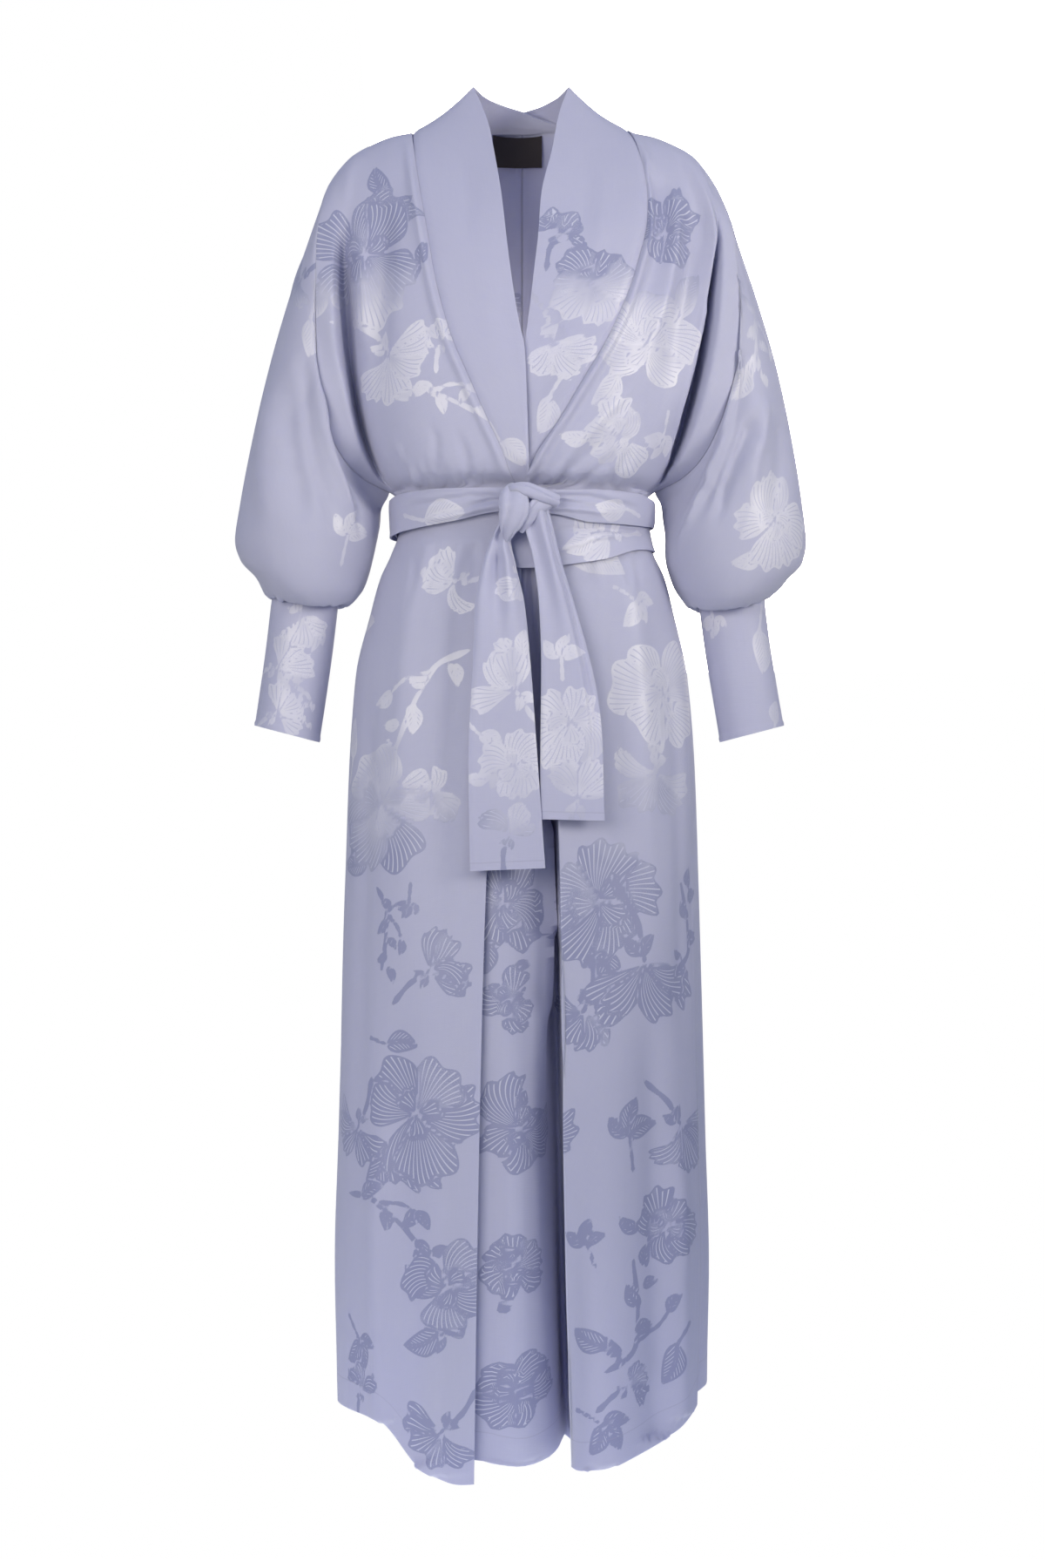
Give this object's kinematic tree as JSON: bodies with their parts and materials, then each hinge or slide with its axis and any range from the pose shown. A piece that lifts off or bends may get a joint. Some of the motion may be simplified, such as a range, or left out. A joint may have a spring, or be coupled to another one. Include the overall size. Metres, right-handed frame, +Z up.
{
  "type": "kimono robe",
  "caption": "Long belted kimono robe of pale jacquard cloth in its worn form: crossed neck band, full sleeves gathered into deep cuffs, pleated skirt and a tied belt with hanging ends.",
  "frame": {"origin": "middle of the shoulder line, where a wearer's shoulders carry the robe", "axes": "+X to the wearer's left, +Y to the back, +Z up; the front faces -Y"},
  "size_m": [0.615, 0.2666, 1.4757],
  "materials": {
    "cloth": "fine plain weave with a satin jacquard of flowers and leaves",
    "label": "matt woven tape"
  },
  "bodies": {
    "root": {"front_right": "cloth", "front_left": "cloth", "back_right": "cloth", "back_left": "cloth", "neck_band_right": "cloth", "neck_band_left": "cloth", "sleeve_right": "cloth", "sleeve_left": "cloth", "cuff_right": "cloth", "cuff_left": "cloth", "belt_lower_turn": "cloth", "belt_upper_turn": "cloth", "belt_tail_right": "cloth", "belt_tail_left": "cloth", "belt_knot": "cloth", "neck_label": "label"}
  },
  "joints": []
}
